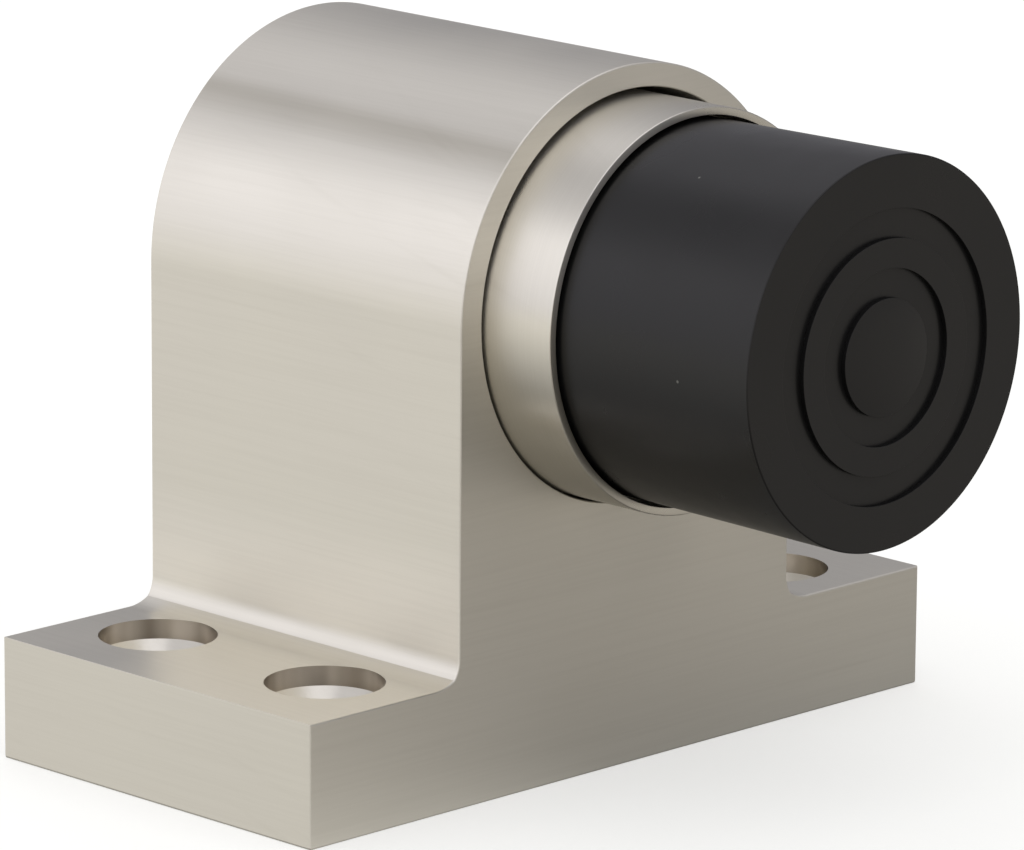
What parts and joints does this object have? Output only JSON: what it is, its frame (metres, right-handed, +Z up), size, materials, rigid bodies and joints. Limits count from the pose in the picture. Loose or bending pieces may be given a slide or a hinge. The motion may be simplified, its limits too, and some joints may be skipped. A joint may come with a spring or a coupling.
{
  "type": "sprung floor door stop",
  "caption": "Floor-mounted door stop with an arched metal housing and a spring-loaded cylindrical rubber buffer.",
  "frame": {"origin": "middle of the base's underside, which is also the middle of the floor holes", "axes": "+Z up from the floor, +X along the base, and the rubber buffer points along -Y"},
  "size_m": [0.09, 0.0812, 0.0737],
  "materials": {
    "satin_stainless": "satin, ground along the depth",
    "turned_stainless": "fine turned",
    "black_rubber": "moulded, matt",
    "screw_steel": "black oxide",
    "washer_polyamide": "plain moulded",
    "spring_steel": "drawn wire"
  },
  "bodies": {
    "base": {"housing": "satin_stainless", "guide_screw": "screw_steel", "stop_washer": "washer_polyamide", "compression_spring": "spring_steel"},
    "plunger": {"plunger_cup": "turned_stainless", "rubber_buffer": "black_rubber"}
  },
  "joints": [
    {"name": "plunger_slide", "type": "slide", "parent": "base", "child": "plunger", "axis": [0, 1, 0], "range_m": [0, 0.009], "stiffness_N_per_m": 11000, "springref_m": -0.005, "deforming": ["compression_spring"]}
  ]
}
